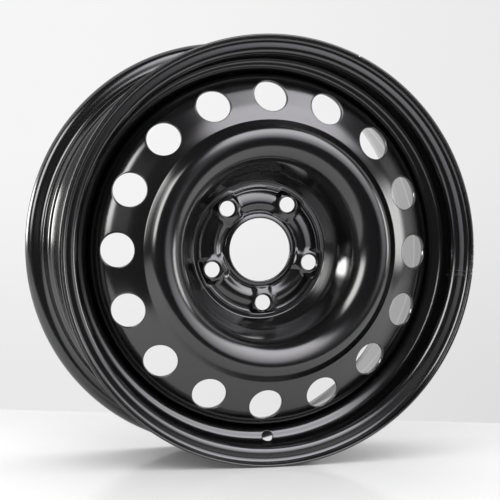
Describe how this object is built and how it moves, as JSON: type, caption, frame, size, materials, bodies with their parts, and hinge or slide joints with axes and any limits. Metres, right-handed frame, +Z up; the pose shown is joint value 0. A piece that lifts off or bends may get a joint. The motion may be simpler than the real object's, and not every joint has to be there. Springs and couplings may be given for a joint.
{
  "type": "steel wheel",
  "caption": "Black-painted pressed steel road wheel: rolled drop-centre rim with a welded vented disc, a raised hub pressing with conical bolt seats, a centre bore and a valve hole.",
  "frame": {"origin": "wheel centre: on the axis, in the middle plane of the rim between its bead seats", "axes": "+Y along the wheel's axis towards the vehicle, street side facing -Y; +Z up, with the valve hole near the bottom"},
  "size_m": [0.4406, 0.1906, 0.4406],
  "materials": {
    "rim_paint": "satin-gloss black paint",
    "disc_paint": "satin-gloss black paint",
    "weld_paint": "black paint over a rough weld"
  },
  "bodies": {
    "root": {"rim": "rim_paint", "disc": "disc_paint", "weld_beads": "weld_paint"}
  },
  "joints": []
}
